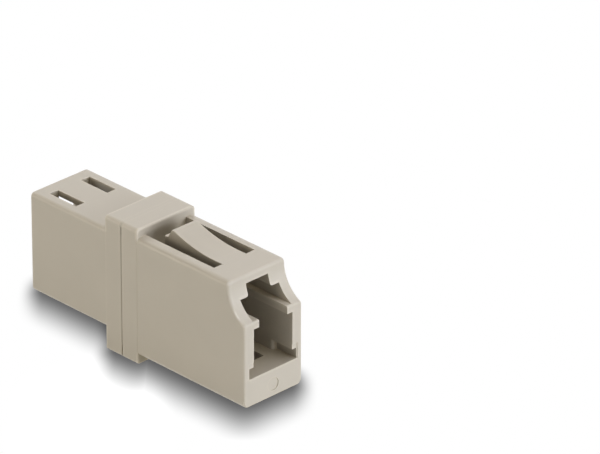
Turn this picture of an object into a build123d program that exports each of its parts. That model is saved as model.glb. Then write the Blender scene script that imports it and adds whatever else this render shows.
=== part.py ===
from build123d import *
import os

# Panel-mount LC to LC fibre adapter, one fibre wide, all sizes in millimetres.
# The optical axis runs along Y and the origin is the optical datum: the middle of the
# alignment sleeve, on the plane where the two housings are welded together.
# -Y is the long front port with the finger scoop and the panel latch, +Y is the short
# rear port, +Z is the latch side.
os.makedirs("parts", exist_ok=True)

# Outer shape, heights measured up (rise) or down (drop) from the optical axis
body_width = 6.8
front_length = 15.2
front_rise = 6.45
front_drop = 4.99
rear_length = 11.6
rear_rise = 5.9
rear_drop = 3.64
flange_step = 0.04
flange_half = 2.0
flange_rise = 7.24
flange_drop = 5.8
front_upper_round = 0.52
front_lower_round = 0.5
rear_upper_round = 0.42
rear_lower_round = 0.34
flange_upper_round = 0.4
flange_lower_round = 0.24
front_end_round = 0.18
rear_end_round = 0.27
edge_break = 0.1
rim_break = 0.05
parting_round = 0.14

# Finger scoop above the front mouth
scoop_radius = 3.27
scoop_setback = 2.0
scoop_lip = 0.45
scoop_lip_round = 0.32

# LC ports
port_width = 4.56
port_height = 4.65
rib_gap = 3.34
rib_height = 0.72
rib_slope = 0.12
channel_width = 2.62
channel_round = 0.2
front_roof = 0.82
front_shoulder_rise = 4.53
rear_roof = 0.57
rear_shoulder_rise = 4.0
flare_step = 0.49
flare_height = 0.98
flare_depth = 2.4
flare_round = 0.33
front_groove_width = 2.14
front_groove_depth = 0.9
front_groove_setback = 2.25
rear_groove_width = 1.6
rear_groove_depth = 0.53

# Rear latch windows, with the wall that is left between them and the rear mouth
window_wall = 1.44
window_length = 3.3
window_inset = 1.37
window_width = 0.96

# Well around the panel latch; its outer strips are the front port's latch windows
well_edge = 10.45
well_width = 4.78

# Panel latch, a springy arm with a ramp and a foot at its free end
latch_width = 2.78
latch_thickness = 0.75
latch_seat_clearance = 0.03
latch_flat = 1.1
latch_gap = 1.35
ramp_rise = 0.92
ramp_crest = 0.3
ramp_back_slope = 0.45
foot_length = 0.4
foot_rise = 0.08
crest_round = 0.22
foot_round = 0.3

# Sleeve holders, two alike, back to back in pockets at the weld plane
plate_lap = 0.47
plate_thickness = 1.2
plate_round = 0.5
seat_clearance = 0.05
barrel_diameter = 2.9
barrel_lip = 0.55
ferrule_hole = 1.42
funnel_angle = 25

# Split alignment sleeve for 1.25 mm ferrules
sleeve_bore = 1.25
sleeve_wall = 0.18
sleeve_length = 6.8
sleeve_slit = 0.3
sleeve_clearance = 0.06
sleeve_end_play = 0.05

# Locating pins between the housings
pin_diameter = 1.2
pin_length = 0.9
pin_clearance = 0.05

# Moulding marks
mark_depth = 0.06
ejector_diameter = 1.25
front_mark_drop = 3.8
rear_mark_rise = 4.9
rear_mark_offset = 2.5
insert_mark_width = 0.6
front_insert_top = -0.85
rear_insert_top = 0.4

# Sizes that follow from the ones above
half_port = port_width / 2
floor_drop = port_height / 2
rib_top = port_height / 2 + rib_height
front_channel_rise = front_rise - front_roof
rear_channel_rise = rear_rise - rear_roof
scoop_top_y = -(front_length - scoop_setback)
scoop_centre_z = front_rise - scoop_lip
flare_width = port_width + 2 * flare_step
flare_end_y = -(front_length - flare_depth)
flare_middle = half_port + flare_step / 2
plate_width = port_width + 2 * plate_lap
plate_height = port_height + 2 * plate_lap
pocket_depth = plate_thickness + seat_clearance
sleeve_outer = sleeve_bore + 2 * sleeve_wall
barrel_bore = sleeve_outer + 2 * sleeve_clearance
barrel_length = sleeve_length / 2 + sleeve_end_play + barrel_lip
window_edge = rear_length - window_wall
window_centre = window_edge - window_length / 2
window_middle = window_inset + window_width / 2
flange_side = body_width / 2 + flange_step
hinge_y = -well_edge
hinge_z = front_rise - latch_thickness / 2
latch_tip_y = -(flange_half + latch_gap)
ramp_start_y = hinge_y + latch_flat
ramp_foot_y = latch_tip_y - foot_length
crest_y = ramp_foot_y - ramp_back_slope
crest_z = front_rise + ramp_rise
foot_z = front_rise + foot_rise
upper_pin_z = (plate_height / 2 + flange_rise) / 2
lower_pin_z = -(plate_height / 2 + flange_drop) / 2


def picked(shapes, axis, place):
    """The edges or corners whose middle is at a place along an axis."""
    margin = rim_break / 2
    return shapes.filter_by_position(axis, place - margin, place + margin)


def block_section(plane, width, rise, drop, upper_round, lower_round):
    """Outline of a housing or flange, with rounder corners on top than below."""
    with BuildSketch(plane) as section:
        with Locations((0, (rise - drop) / 2)):
            Rectangle(width, rise + drop)
        fillet(section.vertices().group_by(Axis.Y)[-1], upper_round)
        fillet(section.vertices().group_by(Axis.Y)[0], lower_round)
    return section.sketch


def port_section(plane, shoulder_rise, channel_rise):
    """Port opening: plug bore, guide ribs, latch shoulders and latch channel."""
    with BuildSketch(plane) as section:
        with BuildLine():
            Polyline(
                (0, -floor_drop),
                (half_port, -floor_drop),
                (half_port, floor_drop - rib_slope),
                (rib_gap / 2, floor_drop),
                (rib_gap / 2, rib_top),
                (half_port, rib_top),
                (half_port, shoulder_rise),
                (channel_width / 2, shoulder_rise),
                (channel_width / 2, channel_rise),
                (0, channel_rise),
            )
            mirror(about=Plane.YZ)
        make_face()
        shoulders = picked(section.vertices(), Axis.Y, shoulder_rise)
        fillet(shoulders.filter_by(lambda v: abs(v.X) < rib_gap / 2), channel_round)
    return section.sketch


def box_section(plane, width, low, high):
    """Rectangle centred on the optical axis, between two heights."""
    with BuildSketch(plane) as section:
        with Locations((0, (low + high) / 2)):
            Rectangle(width, high - low)
    return section.sketch


def pocket_section(clearance):
    """Outline of the holder plate, or of its pocket with a clearance."""
    with BuildSketch(Plane.XZ) as section:
        RectangleRounded(
            plate_width + 2 * clearance, plate_height + 2 * clearance, plate_round
        )
    return section.sketch


def pin_section(clearance):
    """The two locating pins, or their holes with a clearance."""
    with BuildSketch(Plane.XZ) as section:
        with Locations((0, upper_pin_z), (0, lower_pin_z)):
            Circle(pin_diameter / 2 + clearance)
    return section.sketch


def insert_marks(plane, top):
    """Witness marks of the mould insert on both side walls of a mouth."""
    with BuildSketch(plane) as section:
        with Locations((0, top)):
            Rectangle(
                port_width + 2 * insert_mark_width,
                top + floor_drop,
                align=(Align.CENTER, Align.MAX),
            )
    return section.sketch


def ejector_marks(plane, *centres):
    """Round witness marks of the mould's ejector pins."""
    with BuildSketch(plane) as section:
        with Locations(*centres):
            Circle(ejector_diameter / 2)
    return section.sketch


weld_plane = Plane.XZ
front_mouth = Plane.XZ.offset(front_length)
rear_mouth = Plane.XZ.offset(-rear_length)
front_flange_face = Plane.XZ.offset(flange_half)
rear_flange_face = Plane.XZ.offset(-flange_half)

# Half of the flange, on the front side of the weld plane
with BuildPart() as flange:
    extrude(
        block_section(
            weld_plane,
            2 * flange_side,
            flange_rise,
            flange_drop,
            flange_upper_round,
            flange_lower_round,
        ),
        amount=flange_half,
    )
    fillet(flange.faces().sort_by(Axis.Y)[0].edges(), edge_break)

# The front half is rounded at the sides where the two meet, a fine parting groove
with BuildPart() as front_flange:
    add(flange.part)
    with BuildSketch(Plane.XY.offset(-flange_drop)) as parting_corners:
        with Locations((-flange_side, 0), (flange_side, 0)):
            Rectangle(2 * parting_round, 2 * parting_round)
        with Locations(
            (-flange_side + parting_round, -parting_round),
            (flange_side - parting_round, -parting_round),
        ):
            Circle(parting_round, mode=Mode.SUBTRACT)
    extrude(amount=flange_drop + flange_rise - flange_upper_round, mode=Mode.SUBTRACT)

# Front housing: wide body with the finger scoop, latch well and half of the flange
with BuildPart() as front_housing:
    extrude(
        block_section(
            weld_plane,
            body_width,
            front_rise,
            front_drop,
            front_upper_round,
            front_lower_round,
        ),
        amount=front_length,
    )
    with BuildSketch(Plane.YZ) as scoop:
        with Locations((scoop_top_y - scoop_radius, scoop_centre_z)):
            Circle(scoop_radius)
        with Locations((scoop_top_y, scoop_centre_z)):
            Rectangle(
                scoop_radius,
                front_rise,
                align=(Align.MAX, Align.MIN),
            )
    extrude(amount=body_width, both=True, mode=Mode.SUBTRACT)
    scoop_edges = picked(front_housing.edges(), Axis.Y, scoop_top_y)
    fillet(scoop_edges.sort_by(Axis.Z)[-1], scoop_lip_round)
    fillet(front_housing.faces().sort_by(Axis.Y)[0].edges(), front_end_round)
    add(front_flange.part)

    # Port, open to the holder's pocket through the plug bore only
    extrude(
        port_section(front_flange_face, front_shoulder_rise, front_channel_rise),
        amount=front_length,
        mode=Mode.SUBTRACT,
    )
    extrude(
        box_section(weld_plane, port_width, -floor_drop, floor_drop),
        amount=front_length,
        mode=Mode.SUBTRACT,
    )
    extrude(
        box_section(front_mouth, flare_width, -floor_drop, flare_height - floor_drop),
        amount=-flare_depth,
        mode=Mode.SUBTRACT,
    )
    flare_edges = picked(front_housing.edges().filter_by(Axis.Z), Axis.Y, flare_end_y)
    fillet(flare_edges.filter_by(lambda e: abs(e.center().X) < flare_middle), flare_round)
    extrude(
        box_section(
            front_mouth.offset(-front_groove_setback),
            front_groove_width,
            -floor_drop - front_groove_depth,
            0,
        ),
        amount=-(front_length - front_groove_setback - barrel_length),
        mode=Mode.SUBTRACT,
    )

    # Well around the latch arm, and the concave seat of its root
    with BuildSketch(Plane.XY.offset(front_shoulder_rise)) as well:
        with Locations((0, -(well_edge + flange_half) / 2)):
            Rectangle(well_width, well_edge - flange_half)
    extrude(amount=front_rise, mode=Mode.SUBTRACT)
    with BuildSketch(Plane.YZ) as latch_seat:
        with Locations((hinge_y, hinge_z)):
            Circle(latch_thickness / 2 + latch_seat_clearance)
    extrude(
        amount=latch_width / 2 + latch_seat_clearance,
        both=True,
        mode=Mode.SUBTRACT,
    )

    # Weld face: pocket of the sleeve holder and the locating pins
    extrude(pocket_section(seat_clearance), amount=pocket_depth, mode=Mode.SUBTRACT)
    extrude(pin_section(0), amount=-pin_length)

    # Moulding marks on the mouth
    extrude(
        insert_marks(front_mouth, front_insert_top),
        amount=-mark_depth,
        mode=Mode.SUBTRACT,
    )
    extrude(
        ejector_marks(front_mouth, (0, -front_mark_drop)),
        amount=-mark_depth,
        mode=Mode.SUBTRACT,
    )
front_housing.part.label = "front_housing"

# Rear housing: narrow body with two latch windows and the other half of the flange
with BuildPart() as rear_housing:
    extrude(
        block_section(
            weld_plane,
            body_width,
            rear_rise,
            rear_drop,
            rear_upper_round,
            rear_lower_round,
        ),
        amount=-rear_length,
    )
    fillet(rear_housing.faces().sort_by(Axis.Y)[-1].edges(), rear_end_round)
    add(mirror(flange.part, about=weld_plane, mode=Mode.PRIVATE))

    # Port, open to the holder's pocket through the plug bore only
    extrude(
        port_section(rear_flange_face, rear_shoulder_rise, rear_channel_rise),
        amount=-rear_length,
        mode=Mode.SUBTRACT,
    )
    extrude(
        box_section(weld_plane, port_width, -floor_drop, floor_drop),
        amount=-rear_length,
        mode=Mode.SUBTRACT,
    )
    extrude(
        box_section(rear_mouth, rear_groove_width, -floor_drop - rear_groove_depth, 0),
        amount=rear_length - barrel_length,
        mode=Mode.SUBTRACT,
    )

    # Windows that the plug's latch shoulders snap into, open to the channel under the roof
    with BuildSketch(Plane.XY.offset(rear_shoulder_rise)) as windows:
        with Locations((-window_middle, window_edge), (window_middle, window_edge)):
            Rectangle(window_width, window_length, align=(Align.CENTER, Align.MAX))
    extrude(amount=rear_rise, mode=Mode.SUBTRACT)
    with BuildSketch(Plane.XY.offset(rear_shoulder_rise)) as window_pocket:
        with Locations((0, window_edge)):
            Rectangle(
                2 * (window_inset + window_width),
                window_length,
                align=(Align.CENTER, Align.MAX),
            )
    extrude(amount=rear_channel_rise - rear_shoulder_rise, mode=Mode.SUBTRACT)
    roof_edges = picked(rear_housing.edges(), Axis.Z, rear_rise)
    window_rims = roof_edges.filter_by(
        lambda e: abs(e.center().Y - window_centre) < window_length / 2 + rim_break
        and abs(e.center().X) < window_inset + window_width + rim_break
    )
    fillet(window_rims, rim_break)

    # Weld face: pocket of the sleeve holder and the holes for the locating pins
    extrude(pocket_section(seat_clearance), amount=-pocket_depth, mode=Mode.SUBTRACT)
    extrude(
        pin_section(pin_clearance),
        amount=-(pin_length + pin_clearance),
        mode=Mode.SUBTRACT,
    )

    # Moulding marks on the mouth
    extrude(
        insert_marks(rear_mouth, rear_insert_top),
        amount=mark_depth,
        mode=Mode.SUBTRACT,
    )
    extrude(
        ejector_marks(
            rear_mouth,
            (-rear_mark_offset, rear_mark_rise),
            (rear_mark_offset, rear_mark_rise),
        ),
        amount=mark_depth,
        mode=Mode.SUBTRACT,
    )
rear_housing.part.label = "rear_housing"

# Panel latch: the arm's round root sits in its seat, the ramp's concave top rises to
# the crest, and the foot ends short of the flange by the panel's thickness
with BuildPart() as panel_latch:
    with BuildSketch(Plane.YZ) as arm:
        with BuildLine():
            ThreePointArc(
                (hinge_y, front_rise - latch_thickness),
                (hinge_y - latch_thickness / 2, hinge_z),
                (hinge_y, front_rise),
            )
            Line((hinge_y, front_rise), (ramp_start_y, front_rise))
            TangentArc(
                (ramp_start_y, front_rise),
                (crest_y - ramp_crest, crest_z),
                tangent=(1, 0),
            )
            Polyline(
                (crest_y - ramp_crest, crest_z),
                (crest_y, crest_z),
                (ramp_foot_y, foot_z),
                (latch_tip_y, foot_z),
                (latch_tip_y, front_rise - latch_thickness),
                (hinge_y, front_rise - latch_thickness),
            )
        make_face()
        crest = picked(arm.vertices(), Axis.Y, crest_z)
        fillet(crest.sort_by(Axis.X)[-1], crest_round)
        foot = picked(arm.vertices(), Axis.Y, foot_z)
        fillet(foot.sort_by(Axis.X)[0], foot_round)
    extrude(amount=latch_width / 2, both=True)
    fillet(panel_latch.edges().filter_by(Axis.X, reverse=True), rim_break)
panel_latch.part.label = "panel_latch"

# Sleeve holder: a plate that seats in its pocket, with a barrel around the sleeve
with BuildPart() as front_sleeve_holder:
    extrude(pocket_section(0), amount=plate_thickness)
    with BuildSketch(Plane.XZ) as barrel:
        Circle(barrel_diameter / 2)
    extrude(amount=barrel_length)
    with BuildSketch(Plane.XZ) as bore:
        Circle(barrel_bore / 2)
    extrude(amount=barrel_length - barrel_lip, mode=Mode.SUBTRACT)
    with BuildSketch(Plane.XZ.offset(barrel_length - barrel_lip)) as ferrule_funnel:
        Circle(ferrule_hole / 2)
    extrude(amount=barrel_lip, taper=-funnel_angle, mode=Mode.SUBTRACT)
    tip_edges = front_sleeve_holder.faces().sort_by(Axis.Y)[0].edges()
    fillet(tip_edges.sort_by(SortBy.RADIUS)[-1], edge_break)
front_sleeve_holder.part.label = "front_sleeve_holder"

with BuildPart() as rear_sleeve_holder:
    mirror(front_sleeve_holder.part, about=weld_plane)
rear_sleeve_holder.part.label = "rear_sleeve_holder"

# Split sleeve: a thin ceramic tube, slit along its top
with BuildPart() as split_sleeve:
    with BuildSketch(Plane.XZ) as ring:
        Circle(sleeve_outer / 2)
        Circle(sleeve_bore / 2, mode=Mode.SUBTRACT)
        Rectangle(
            sleeve_slit,
            sleeve_outer,
            align=(Align.CENTER, Align.MIN),
            mode=Mode.SUBTRACT,
        )
    extrude(amount=sleeve_length / 2, both=True)
split_sleeve.part.label = "split_sleeve"

export_step(front_housing.part, "parts/front_housing.step")
export_step(rear_housing.part, "parts/rear_housing.step")
export_step(panel_latch.part, "parts/panel_latch.step")
export_step(front_sleeve_holder.part, "parts/front_sleeve_holder.step")
export_step(rear_sleeve_holder.part, "parts/rear_sleeve_holder.step")
export_step(split_sleeve.part, "parts/split_sleeve.step")
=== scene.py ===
import bpy
import math
from mathutils import Matrix, Vector


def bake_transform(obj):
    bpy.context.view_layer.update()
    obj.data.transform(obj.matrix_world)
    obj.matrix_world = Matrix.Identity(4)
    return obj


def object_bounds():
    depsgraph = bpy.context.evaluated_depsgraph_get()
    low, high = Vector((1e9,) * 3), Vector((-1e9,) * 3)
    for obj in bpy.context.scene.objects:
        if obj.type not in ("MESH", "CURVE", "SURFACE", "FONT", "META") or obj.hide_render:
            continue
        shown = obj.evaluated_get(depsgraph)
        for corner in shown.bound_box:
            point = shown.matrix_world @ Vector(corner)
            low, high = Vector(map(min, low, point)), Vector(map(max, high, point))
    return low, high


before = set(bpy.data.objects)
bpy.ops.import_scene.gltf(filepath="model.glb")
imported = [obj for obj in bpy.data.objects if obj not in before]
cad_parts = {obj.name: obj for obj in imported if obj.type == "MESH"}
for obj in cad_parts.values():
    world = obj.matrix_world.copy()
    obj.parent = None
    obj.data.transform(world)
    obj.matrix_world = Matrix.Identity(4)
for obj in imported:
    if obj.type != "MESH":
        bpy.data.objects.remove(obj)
cad_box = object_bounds()

# Camera: a long lens, 27 degrees above the floor, looking at the front port and the left side
CAMERA_PLACE = (-0.326335, -0.350579, 0.254791)
CAMERA_AZIMUTH = -44.491
CAMERA_ELEVATION = 27.493
CAMERA_ROLL = 0.166
CAMERA_LENS = 376.925
CAMERA_NEAR = 0.01

# Line of sight along the floor, away from the camera
SIGHT_X = -math.sin(math.radians(CAMERA_AZIMUTH))
SIGHT_Y = math.cos(math.radians(CAMERA_AZIMUTH))

# Colours, linear, and how rough each surface is
HOUSING_COLOUR = (0.449, 0.402, 0.326)
HOUSING_ROUGHNESS = 0.38
CERAMIC_COLOUR = (0.86, 0.85, 0.82)
CERAMIC_ROUGHNESS = 0.25

# Slow drift of tone and gloss over the plastic, and its fine grain. The tone drifts while the
# noise is in this range
DRIFT_SCALE = 260.0
DRIFT_RANGE = (0.3, 0.7)
TONE_DRIFT = 0.015
GLOSS_DRIFT = 0.05
GRAIN_SCALE = 9000.0
GRAIN_STRENGTH = 0.12
GRAIN_DEPTH = 0.00002

# Painted highlight on outer edges: how far in from an edge, how much lighter, how much more on
# the flange, and the distance from the weld plane that holds the whole flange
EDGE_REACH = 0.0003
EDGE_GAIN = 0.25
FLANGE_EDGE_GAIN = 0.5
FLANGE_REACH = 0.00206

# Painted shade in cavities, and a painted warm bounce light there. The reach is how far around a
# place is looked. Each pair is how open a place is where the painted shade ends, and the tone
# where it is closed. The warm tint ends at WARM_OPEN
CAVITY_REACH = 0.012
HOUSING_CAVITY = (0.4, 0.68)
LATCH_CAVITY = (0.9, 0.5)
WARM_OPEN = 0.52
WARM_TINT = (1.08, 0.99, 0.76, 1.0)
TONE_SAMPLES = 8

# Weld seam at Y 0: half of the strip that counts as no edge, half of the dark line, how far
# from the middle it begins, so that only the two sides show it, and how much darker it is
SEAM_HALF = 0.0002
SEAM_LINE = 0.00008
SEAM_SIDE = 0.0033
SEAM_DARKENING = 0.12

# Latch's root: its place along Y, and how far along and across from it nothing is an edge
ROOT_MIDDLE = -0.0105
ROOT_REACH = 0.0007
ROOT_HALF_WIDTH = 0.0018

# Skin over the latch's root: the arm's half width, the top that it grows from, half of the
# skin's length, how deep and how high it goes from the top, and its steps along Y
LATCH_HALF_WIDTH = 0.00139
FRONT_TOP = 0.00645
SKIN_REACH = 0.0003
SKIN_DEPTH = 0.00015
SKIN_LIFT = 0.000002
SKIN_STEPS = 12

# Table, and how far the lamps stand from the part
TABLE_SIZE = 4.0
TABLE_COLOUR = (0.8, 0.8, 0.8, 1.0)
LAMP_DISTANCE = 0.4

# Light that is not from a lamp: the white table's glow, and white in reflections
TABLE_GLOW = 0.3
TABLE_GLOW_COLOUR = (0.92, 0.965, 0.93, 1.0)
REFLECTED_WHITE = 1.0

# Shadow on the table around the undersides: its depth as a share of white, how far it reaches
# inside and outside their near edges, their far edges and their two ends as the camera sees
# them, how softly two near edges meet, and the gamma between these shares and linear light
SHADOW_DEPTH = 0.78
NEAR_INSIDE = 0.0023
NEAR_OUTSIDE = 0.0052
FAR_INSIDE = 0.001
FAR_OUTSIDE = 0.0025
END_INSIDE = 0.0009
END_OUTSIDE = 0.0015
CORNER_SOFTNESS = 0.5
DISPLAY_GAMMA = 2.2

# Extra shade on the table in the corner between the flange's side and the rear body: how dark,
# how far it reaches outside and inside the flange's side, how steeply it falls, how far behind
# the flange's corner it is full and begins to end, and the width of its ends, which are unseen
CORNER_DEPTH = 0.5
CORNER_OUTSIDE = 0.0016
CORNER_INSIDE = 0.0002
CORNER_FALL = 3.0
CORNER_FULL = 0.0034
CORNER_BEHIND = 0.006
CORNER_UNSEEN = 0.003

# Half of the body's width and of the flange's length, the floor, which is under the flange, and
# the undersides: front end, back end and height
HALF_WIDTH = 0.0034
FLANGE_HALF = 0.002
floor_z = cad_box[0][2]
FRONT_UNDERSIDE = (cad_box[0][1], -FLANGE_HALF, -0.00499)
FLANGE_UNDERSIDE = (-FLANGE_HALF, FLANGE_HALF, floor_z)
REAR_UNDERSIDE = (FLANGE_HALF, cad_box[1][1], -0.00364)


def new_material(name):
    """An empty node material with its output, ready for a shader."""
    material = bpy.data.materials.new(name)
    material.use_nodes = True
    tree = material.node_tree
    tree.nodes.clear()
    output = tree.nodes.new("ShaderNodeOutputMaterial")
    return material, tree, output


def node(tree, kind, **values):
    """A node with its properties and input sockets set by name."""
    made = tree.nodes.new(kind)
    for key, value in values.items():
        socket = made.inputs.get(key.replace("_", " "))
        if socket is None:
            setattr(made, key, value)
        else:
            socket.default_value = value
    return made


def combined(tree, operation, *values):
    """Values joined by a Math operation. Some may be plain numbers."""
    maths = node(tree, "ShaderNodeMath", operation=operation)
    for socket, value in zip(maths.inputs, values):
        if isinstance(value, float):
            socket.default_value = value
        else:
            tree.links.new(value, socket)
    return maths.outputs["Value"]


def cavity_tint(tree, around, geometry):
    """Warm tint on the faces in a cavity that don't look sideways, where light has bounced off
    the plastic before."""
    normal = node(tree, "ShaderNodeSeparateXYZ")
    tree.links.new(geometry.outputs["Normal"], normal.inputs["Vector"])
    sideways = combined(tree, "ABSOLUTE", normal.outputs["X"])
    closed = node(tree, "ShaderNodeMapRange")
    closed.inputs["From Max"].default_value = WARM_OPEN
    closed.inputs["To Min"].default_value = 1.0
    closed.inputs["To Max"].default_value = 0.0
    tree.links.new(around.outputs["AO"], closed.inputs["Value"])
    upright = combined(tree, "SUBTRACT", 1.0, sideways)
    amount = combined(tree, "MULTIPLY", upright, closed.outputs["Result"])
    tint = node(tree, "ShaderNodeMixRGB", Color1=(1.0, 1.0, 1.0, 1.0), Color2=WARM_TINT)
    tree.links.new(amount, tint.inputs["Fac"])
    return tint.outputs["Color"]


def cavity_tone(tree, around, cavity_look):
    """Painted shade: 1 in the open, down to the closed tone deep in a cavity."""
    open_end, closed_tone = cavity_look
    cavity = node(tree, "ShaderNodeMapRange")
    cavity.inputs["From Max"].default_value = open_end
    cavity.inputs["To Min"].default_value = closed_tone
    tree.links.new(around.outputs["AO"], cavity.inputs["Value"])
    return cavity.outputs["Result"]


def edge_share(tree, x, y):
    """Where the painted edge highlight goes: above 0 on outer edges. The weld seam and the
    latch's root are no edges.
    """
    within = node(tree, "ShaderNodeAmbientOcclusion", inside=True, samples=TONE_SAMPLES)
    within.inputs["Distance"].default_value = EDGE_REACH
    edge = combined(tree, "SUBTRACT", 1.0, within.outputs["AO"])
    by_seam = combined(tree, "COMPARE", y, 0.0, SEAM_HALF)
    along_root = combined(tree, "COMPARE", y, ROOT_MIDDLE, ROOT_REACH)
    across_root = combined(tree, "COMPARE", x, 0.0, ROOT_HALF_WIDTH)
    by_root = combined(tree, "MULTIPLY", along_root, across_root)
    masked = combined(tree, "MAXIMUM", by_seam, by_root)
    return combined(tree, "MULTIPLY", edge, combined(tree, "SUBTRACT", 1.0, masked))


def seam_tone(tree, x, y):
    """1, and a little less on the weld seam, where it shows on the two sides."""
    on_seam = combined(tree, "COMPARE", y, 0.0, SEAM_LINE)
    from_middle = combined(tree, "ABSOLUTE", x)
    on_side = combined(tree, "GREATER_THAN", from_middle, SEAM_SIDE)
    seam = combined(tree, "MULTIPLY", on_seam, on_side)
    return combined(tree, "MULTIPLY_ADD", seam, -SEAM_DARKENING, 1.0)


def edge_and_cavity_tone(tree, around, geometry, cavity_look):
    """Factor on a colour: above 1 on outer edges for a painted highlight, below 1 in cavities for
    painted shade, and below 1 on the weld seam.
    """
    place = node(tree, "ShaderNodeSeparateXYZ")
    tree.links.new(geometry.outputs["Position"], place.inputs["Vector"])
    x, y = place.outputs["X"], place.outputs["Y"]
    by_flange = combined(tree, "COMPARE", y, 0.0, FLANGE_REACH)
    full_gain = combined(tree, "MULTIPLY_ADD", by_flange, FLANGE_EDGE_GAIN, EDGE_GAIN)
    edge = edge_share(tree, x, y)
    gain = combined(tree, "MULTIPLY_ADD", edge, full_gain, seam_tone(tree, x, y))
    return combined(tree, "MULTIPLY", cavity_tone(tree, around, cavity_look), gain)


def moulded_plastic(name, colour, roughness, cavity_look=HOUSING_CAVITY):
    """Satin moulded surface: slow drift of tone, fine spark-eroded grain, uneven gloss."""
    material, tree, output = new_material(name)
    links = tree.links
    shader = node(tree, "ShaderNodeBsdfPrincipled")
    place = node(tree, "ShaderNodeTexCoord")

    drift = node(tree, "ShaderNodeTexNoise", Scale=DRIFT_SCALE, Detail=3.0, Roughness=0.5)
    links.new(place.outputs["Object"], drift.inputs["Vector"])
    tone = node(tree, "ShaderNodeValToRGB")
    stops = zip(tone.color_ramp.elements, DRIFT_RANGE, (-TONE_DRIFT, TONE_DRIFT))
    for stop, position, shift in stops:
        stop.position = position
        stop.color = (*[min(1.0, c * (1.0 + shift)) for c in colour], 1.0)
    links.new(drift.outputs["Fac"], tone.inputs["Fac"])
    # Painted light on the colour: warm bounce tint and shade in cavities, highlight on outer
    # edges
    around = node(tree, "ShaderNodeAmbientOcclusion", samples=TONE_SAMPLES)
    around.inputs["Distance"].default_value = CAVITY_REACH
    geometry = node(tree, "ShaderNodeNewGeometry")
    warmed = node(tree, "ShaderNodeVectorMath", operation="MULTIPLY")
    links.new(tone.outputs["Color"], warmed.inputs[0])
    links.new(cavity_tint(tree, around, geometry), warmed.inputs[1])
    painted_light_colour = node(tree, "ShaderNodeVectorMath", operation="SCALE")
    links.new(warmed.outputs["Vector"], painted_light_colour.inputs["Vector"])
    scale = edge_and_cavity_tone(tree, around, geometry, cavity_look)
    links.new(scale, painted_light_colour.inputs["Scale"])
    links.new(painted_light_colour.outputs["Vector"], shader.inputs["Base Color"])

    gloss = node(tree, "ShaderNodeMapRange")
    gloss.inputs["To Min"].default_value = roughness - GLOSS_DRIFT
    gloss.inputs["To Max"].default_value = roughness + GLOSS_DRIFT
    links.new(drift.outputs["Fac"], gloss.inputs["Value"])
    links.new(gloss.outputs["Result"], shader.inputs["Roughness"])

    grain = node(tree, "ShaderNodeTexNoise", Scale=GRAIN_SCALE, Detail=2.0, Roughness=0.6)
    links.new(place.outputs["Object"], grain.inputs["Vector"])
    bump = node(tree, "ShaderNodeBump", Strength=GRAIN_STRENGTH, Distance=GRAIN_DEPTH)
    links.new(grain.outputs["Fac"], bump.inputs["Height"])
    links.new(bump.outputs["Normal"], shader.inputs["Normal"])
    links.new(shader.outputs["BSDF"], output.inputs["Surface"])
    return material


def dress(names, material):
    """The given CAD nodes wear one material."""
    for name in names:
        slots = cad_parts[name].data.materials
        slots.clear()
        slots.append(material)


housing_plastic = moulded_plastic("housing_plastic", HOUSING_COLOUR, HOUSING_ROUGHNESS)
# The latch takes deeper painted shade on its sides, where light from the left is blocked
latch_plastic = moulded_plastic(
    "latch_plastic", HOUSING_COLOUR, HOUSING_ROUGHNESS, cavity_look=LATCH_CAVITY
)
ceramic = moulded_plastic("ceramic", CERAMIC_COLOUR, CERAMIC_ROUGHNESS)
dress(
    ("front_housing", "rear_housing", "front_sleeve_holder", "rear_sleeve_holder"),
    housing_plastic,
)
dress(("panel_latch",), latch_plastic)
dress(("split_sleeve",), ceramic)


def strip(name, half_width, low, high, steps):
    """A closed flat strip across X, between two corners in Y and Z, in even steps along Y."""
    ys = [low[0] + (high[0] - low[0]) * step / steps for step in range(steps + 1)]
    bottom, top = low[1], high[1]
    corners = ((-half_width, bottom), (half_width, bottom), (half_width, top), (-half_width, top))
    points = [(x, y, z) for y in ys for x, z in corners]
    faces = [(0, 1, 2, 3), tuple(4 * steps + k for k in (3, 2, 1, 0))]
    for step in range(steps):
        for k in range(4):
            here, there = 4 * step + k, 4 * step + (k + 1) % 4
            faces.append((here, here + 4, there + 4, there))
    mesh = bpy.data.meshes.new(name)
    mesh.from_pydata(points, [], faces)
    mesh.validate()
    made = bpy.data.objects.new(name, mesh)
    bpy.context.scene.collection.objects.link(made)
    return made


# Skin of the latch's root, which is moulded in one piece with the housing: it closes the seam
# between the two bodies
latch_root = strip(
    "latch_root",
    LATCH_HALF_WIDTH,
    (ROOT_MIDDLE - SKIN_REACH, FRONT_TOP - SKIN_DEPTH),
    (ROOT_MIDDLE + SKIN_REACH, FRONT_TOP + SKIN_LIFT),
    SKIN_STEPS,
)
latch_root.data.materials.append(housing_plastic)
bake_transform(latch_root)


def reflected_rays(tree, path):
    """1 for the rays that show the surroundings in a reflection or through a clear part."""
    glossy, through = path.outputs["Is Glossy Ray"], path.outputs["Is Transmission Ray"]
    return combined(tree, "MAXIMUM", glossy, through)


def mixed(tree, factor, first, second):
    """Shader that changes from the first to the second with the factor."""
    mix = node(tree, "ShaderNodeMixShader")
    tree.links.new(factor, mix.inputs["Fac"])
    tree.links.new(first, mix.inputs[1])
    tree.links.new(second, mix.inputs[2])
    return mix.outputs["Shader"]


def background_white(tree, kind):
    """Plain white, as an emission or a background."""
    shader = node(tree, kind, Strength=REFLECTED_WHITE)
    shader.inputs["Color"].default_value = (1.0, 1.0, 1.0, 1.0)
    return shader.outputs[0]


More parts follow.
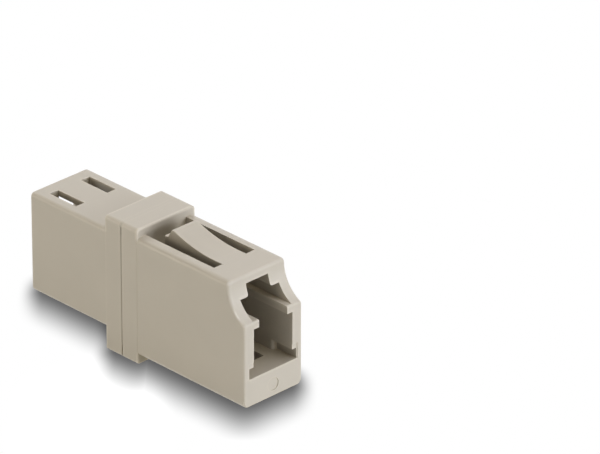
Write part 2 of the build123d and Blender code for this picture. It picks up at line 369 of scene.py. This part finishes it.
def edge_fade(tree, place, low, high, rising):
    """Smooth change between two places along an axis, up to 1 or down from 1."""
    fade = node(tree, "ShaderNodeMapRange", interpolation_type="SMOOTHSTEP")
    fade.inputs["From Min"].default_value = low
    fade.inputs["From Max"].default_value = high
    fade.inputs["To Min"].default_value = 0.0 if rising else 1.0
    fade.inputs["To Max"].default_value = 1.0 if rising else 0.0
    tree.links.new(place, fade.inputs["Value"])
    return fade.outputs["Result"]


def weighted_sum(tree, first, first_weight, second, second_weight):
    """Two values, each times its weight, added up."""
    part = combined(tree, "MULTIPLY", first, first_weight)
    return combined(tree, "MULTIPLY_ADD", second, second_weight, part)


def underside_shade(tree, place, front_y, back_y, height):
    """Shade around one underside, slid down the line of sight to the table so that it hugs
    the edge that the camera sees."""
    slide = (height - floor_z) / math.tan(math.radians(CAMERA_ELEVATION))
    near_x, far_x = slide * SIGHT_X - HALF_WIDTH, slide * SIGHT_X + HALF_WIDTH
    near_y, far_y = slide * SIGHT_Y + front_y, slide * SIGHT_Y + back_y
    left = -HALF_WIDTH * SIGHT_Y - back_y * SIGHT_X
    right = HALF_WIDTH * SIGHT_Y - front_y * SIGHT_X
    x, y = place.outputs["X"], place.outputs["Y"]
    across = weighted_sum(tree, x, SIGHT_Y, y, -SIGHT_X)
    shade = combined(
        tree,
        "SMOOTH_MIN",
        edge_fade(tree, x, near_x - NEAR_OUTSIDE, near_x + NEAR_INSIDE, True),
        edge_fade(tree, y, near_y - NEAR_OUTSIDE, near_y + NEAR_INSIDE, True),
        CORNER_SOFTNESS,
    )
    for edge in (
        edge_fade(tree, x, far_x - FAR_INSIDE, far_x + FAR_OUTSIDE, False),
        edge_fade(tree, y, far_y - FAR_INSIDE, far_y + FAR_OUTSIDE, False),
        edge_fade(tree, across, left - END_OUTSIDE, left + END_INSIDE, True),
        edge_fade(tree, across, right - END_INSIDE, right + END_OUTSIDE, False),
    ):
        shade = combined(tree, "MULTIPLY", shade, edge)
    shade = combined(tree, "MULTIPLY", shade, SHADOW_DEPTH)
    return combined(tree, "SUBTRACT", 1.0, shade)


def corner_shade(tree, place, back_y):
    """Shade on the table beside the flange's left back corner, under the rear body."""
    x, y = place.outputs["X"], place.outputs["Y"]
    across = weighted_sum(tree, x, SIGHT_Y, y, -SIGHT_X)
    along = weighted_sum(tree, x, SIGHT_X, y, SIGHT_Y)
    left = -HALF_WIDTH * SIGHT_Y - back_y * SIGHT_X
    start = -HALF_WIDTH * SIGHT_X + back_y * SIGHT_Y
    full = start + CORNER_FULL
    behind = start + CORNER_BEHIND
    beside = node(tree, "ShaderNodeMapRange")
    beside.inputs["From Min"].default_value = left - CORNER_OUTSIDE
    beside.inputs["From Max"].default_value = left + CORNER_INSIDE
    tree.links.new(across, beside.inputs["Value"])
    shade = combined(tree, "POWER", beside.outputs["Result"], CORNER_FALL)
    for edge in (
        edge_fade(tree, across, left + CORNER_UNSEEN, left + 2.0 * CORNER_UNSEEN, False),
        edge_fade(tree, along, start, full, True),
        edge_fade(tree, along, behind, behind + CORNER_UNSEEN, False),
    ):
        shade = combined(tree, "MULTIPLY", shade, edge)
    shade = combined(tree, "MULTIPLY", shade, CORNER_DEPTH)
    return combined(tree, "SUBTRACT", 1.0, shade)


# Floor under the flange's lower edge. The camera sees white paper with a soft shadow around the
# part, reflections see plain white, and the part is lit by the glow of the table
bpy.ops.mesh.primitive_plane_add(size=TABLE_SIZE, location=(0.0, 0.0, floor_z))
floor = bpy.context.object
floor.name = "floor"
material, tree, output = new_material("floor_white")
path = node(tree, "ShaderNodeLightPath")
geometry = node(tree, "ShaderNodeNewGeometry")
place = node(tree, "ShaderNodeSeparateXYZ")
tree.links.new(geometry.outputs["Position"], place.inputs["Vector"])
by_front = underside_shade(tree, place, *FRONT_UNDERSIDE)
by_flange = underside_shade(tree, place, *FLANGE_UNDERSIDE)
by_rear = underside_shade(tree, place, *REAR_UNDERSIDE)
by_front = combined(tree, "MINIMUM", by_front, by_flange)
by_corner = corner_shade(tree, place, FLANGE_UNDERSIDE[1])
by_rear = combined(tree, "MULTIPLY", by_rear, by_corner)
grey = combined(tree, "POWER", combined(tree, "MULTIPLY", by_front, by_rear), DISPLAY_GAMMA)
seen = node(tree, "ShaderNodeEmission", Strength=1.0)
tree.links.new(grey, seen.inputs["Color"])
lit = node(tree, "ShaderNodeBsdfDiffuse", Color=TABLE_COLOUR)
glow = node(tree, "ShaderNodeEmission", Strength=TABLE_GLOW, Color=TABLE_GLOW_COLOUR)
table = node(tree, "ShaderNodeAddShader")
tree.links.new(lit.outputs["BSDF"], table.inputs[0])
tree.links.new(glow.outputs["Emission"], table.inputs[1])
white = background_white(tree, "ShaderNodeEmission")
unseen = mixed(tree, reflected_rays(tree, path), table.outputs["Shader"], white)
surface = mixed(tree, path.outputs["Is Camera Ray"], unseen, seen.outputs["Emission"])
tree.links.new(surface, output.inputs["Surface"])
floor.data.materials.append(material)

# World: white to the camera and in reflections, dark as a light
world = bpy.data.worlds.new("studio")
world.use_nodes = True
bpy.context.scene.world = world
tree = world.node_tree
tree.nodes.clear()
output = tree.nodes.new("ShaderNodeOutputWorld")
path = node(tree, "ShaderNodeLightPath")
dark = node(tree, "ShaderNodeBackground", Strength=0.0)
white = background_white(tree, "ShaderNodeBackground")
unseen = mixed(tree, reflected_rays(tree, path), dark.outputs["Background"], white)
surface = mixed(tree, path.outputs["Is Camera Ray"], unseen, white)
tree.links.new(surface, output.inputs["Surface"])


def softbox(name, azimuth, elevation, size, level, colour=(1.0, 1.0, 1.0), gloss_only=False):
    """A square area lamp aimed at the part. Level 1 lights a facing white surface to white."""
    lamp = bpy.data.lights.new(name, "AREA")
    lamp.shape = "SQUARE"
    lamp.size = size
    lamp.color = colour
    lamp.energy = level * math.pi**2 * LAMP_DISTANCE**2
    holder = bpy.data.objects.new(name, lamp)
    a, e = math.radians(azimuth), math.radians(elevation)
    away = Vector((math.sin(a) * math.cos(e), -math.cos(a) * math.cos(e), math.sin(e)))
    holder.location = away * LAMP_DISTANCE
    holder.rotation_euler = away.to_track_quat("Z", "Y").to_euler()
    holder.visible_diffuse = not gloss_only
    bpy.context.scene.collection.objects.link(holder)


# Lamps: azimuth, elevation, size, level and colour. The last two show in reflections alone
softbox("top", 0.0, 88.0, 0.45, 0.36, (1.0, 0.968, 0.936))
softbox("front", 14.0, 10.0, 0.25, 0.97, (0.853, 0.895, 0.99))
softbox("left", -98.0, 10.0, 0.25, 0.4, (1.0, 0.93, 0.8))
softbox("back", 180.0, 40.0, 0.3, 0.32, (1.0, 0.966, 0.885))
softbox("back_right", 135.0, 28.0, 0.3, 0.16, (0.94, 0.945, 0.985))
softbox("right", 60.0, 50.0, 0.35, 0.43, (0.925, 0.943, 1.0))
softbox("glint", -45.0, 44.0, 0.12, 1.3, gloss_only=True)
softbox("sheen", -130.0, 9.0, 0.22, 0.3, (1.0, 0.96, 0.88), gloss_only=True)

# Camera
scene = bpy.context.scene
camera_data = bpy.data.cameras.new("camera")
camera_data.lens = CAMERA_LENS
camera_data.clip_start = CAMERA_NEAR
camera = bpy.data.objects.new("camera", camera_data)
turn = (
    Matrix.Rotation(math.radians(CAMERA_AZIMUTH), 4, "Z")
    @ Matrix.Rotation(math.radians(90.0 - CAMERA_ELEVATION), 4, "X")
    @ Matrix.Rotation(math.radians(CAMERA_ROLL), 4, "Z")
)
camera.matrix_world = Matrix.Translation(CAMERA_PLACE) @ turn
scene.collection.objects.link(camera)
scene.camera = camera
scene.view_settings.view_transform = "Standard"
